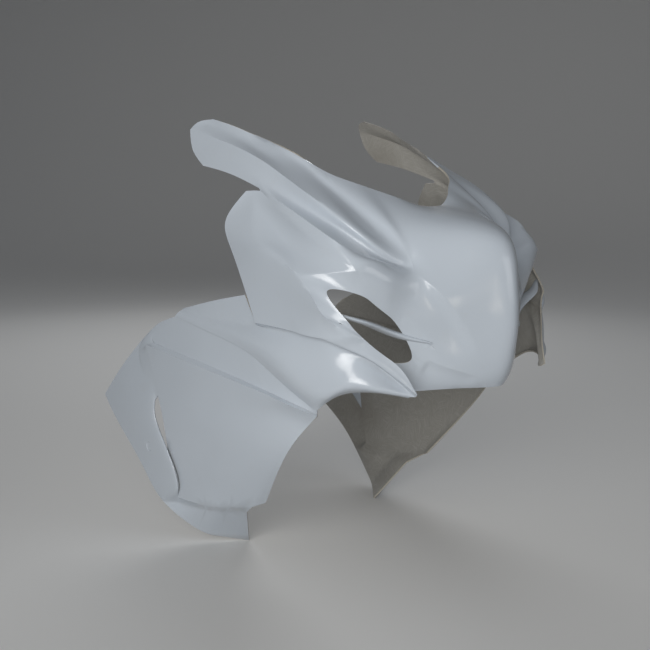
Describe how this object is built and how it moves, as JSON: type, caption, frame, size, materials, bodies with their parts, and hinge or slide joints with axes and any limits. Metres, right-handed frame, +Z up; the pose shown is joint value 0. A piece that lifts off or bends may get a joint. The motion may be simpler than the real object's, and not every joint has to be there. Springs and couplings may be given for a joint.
{
  "type": "motorcycle fairing",
  "caption": "Half fairing for a sport motorcycle: pointed nose with windscreen arms, vaned air scoops and side flaps, and lapped lower side panels that leave the front wheel arch open.",
  "frame": {"origin": "centre of the bounding box of the whole fairing", "axes": "+X forward along the motorcycle, +Y to the rider's left, +Z up"},
  "size_m": [0.7054, 0.5106, 0.678],
  "materials": {
    "gel_coat": "white gel coat on glass-fibre laminate"
  },
  "bodies": {
    "root": {"upper_fairing": "gel_coat", "lower_panel_right": "gel_coat", "lower_panel_left": "gel_coat"}
  },
  "joints": []
}
